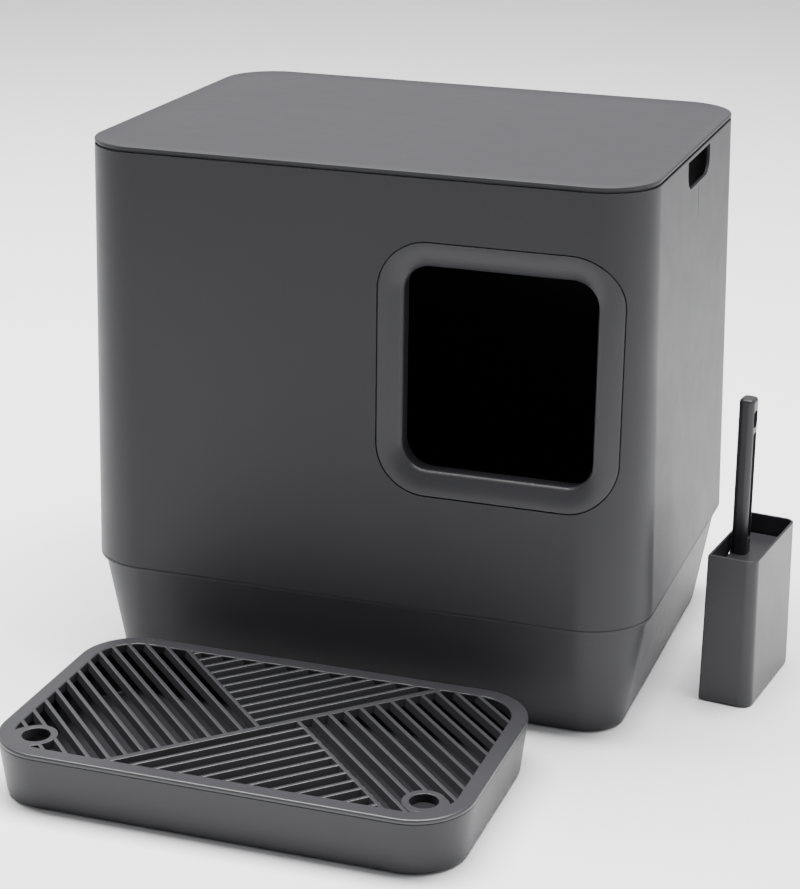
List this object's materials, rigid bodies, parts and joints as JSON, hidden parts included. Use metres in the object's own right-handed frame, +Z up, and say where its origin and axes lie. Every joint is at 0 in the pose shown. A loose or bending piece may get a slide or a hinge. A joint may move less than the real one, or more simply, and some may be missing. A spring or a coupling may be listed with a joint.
{
  "type": "litter box",
  "caption": "Hooded cat litter box with a front entry, lift-off hood and flat lid, with a landing tray, its slotted grate, and a slotted scoop standing in a holder.",
  "frame": {"origin": "middle of the pan's flat underside, on the floor", "axes": "+X to the right as seen from the entry side, +Y to the back, +Z up; the entry is in the -Y face"},
  "size_m": [0.66, 0.704, 0.528],
  "materials": {
    "hood_plastic": "fine satin texture, charcoal grey",
    "pan_plastic": "fine satin texture, charcoal grey",
    "tray_plastic": "fine satin texture, charcoal grey",
    "scoop_plastic": "smooth satin, charcoal grey"
  },
  "bodies": {
    "pan": {"litter_pan": "pan_plastic"},
    "hood": {"hood_shell": "hood_plastic", "entry_frame": "hood_plastic"},
    "lid": {"hood_lid": "hood_plastic"},
    "tray": {"landing_tray": "tray_plastic"},
    "grate_plate": {"grate": "tray_plastic"},
    "holder": {"scoop_holder": "scoop_plastic"},
    "scoop": {"scoop_head": "scoop_plastic", "scoop_handle": "scoop_plastic"}
  },
  "joints": [
    {"name": "hood_lift", "type": "slide", "parent": "pan", "child": "hood", "axis": [0, 0, 1], "range_m": [0, 0.12]},
    {"name": "lid_lift", "type": "slide", "parent": "hood", "child": "lid", "axis": [0, 0, 1], "range_m": [0, 0.06]},
    {"name": "tray_lift", "type": "slide", "parent": "pan", "child": "tray", "axis": [0, 0, 1], "range_m": [0, 0.06]},
    {"name": "grate_lift", "type": "slide", "parent": "tray", "child": "grate_plate", "axis": [0, 0, 1], "range_m": [0, 0.1]},
    {"name": "holder_lift", "type": "slide", "parent": "pan", "child": "holder", "axis": [0, 0, 1], "range_m": [0, 0.06]},
    {"name": "scoop_lift", "type": "slide", "parent": "holder", "child": "scoop", "axis": [0, 0, 1], "range_m": [0, 0.19]}
  ]
}
